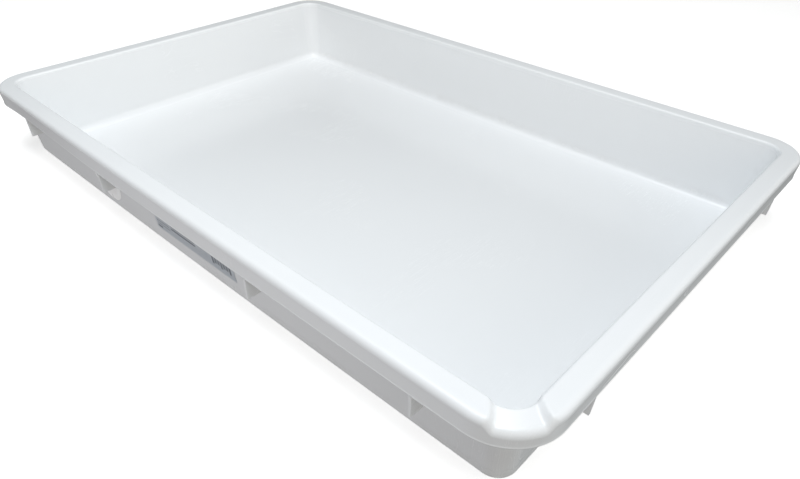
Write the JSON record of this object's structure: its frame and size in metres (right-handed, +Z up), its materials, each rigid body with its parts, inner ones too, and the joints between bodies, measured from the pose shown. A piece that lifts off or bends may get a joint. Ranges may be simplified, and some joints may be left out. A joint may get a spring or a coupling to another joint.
{
  "type": "developing tray",
  "caption": "Large open white plastic darkroom tray with a wide flange, hanging skirt, stiffening ribs and a pouring lip at one corner.",
  "frame": {"origin": "middle of the tray's footprint, on the surface that it stands on", "axes": "+X along the long sides, +Y along the short sides, +Z up; the pouring lip is at the corner (+X, -Y)"},
  "size_m": [0.68, 0.46, 0.0755],
  "materials": {
    "white_plastic": "semi-gloss moulded plastic",
    "label_film": "printed satin film",
    "sticker_film": "plain satin film"
  },
  "bodies": {
    "root": {"tray_moulding": "white_plastic", "product_label": "label_film", "round_sticker": "sticker_film"}
  },
  "joints": []
}
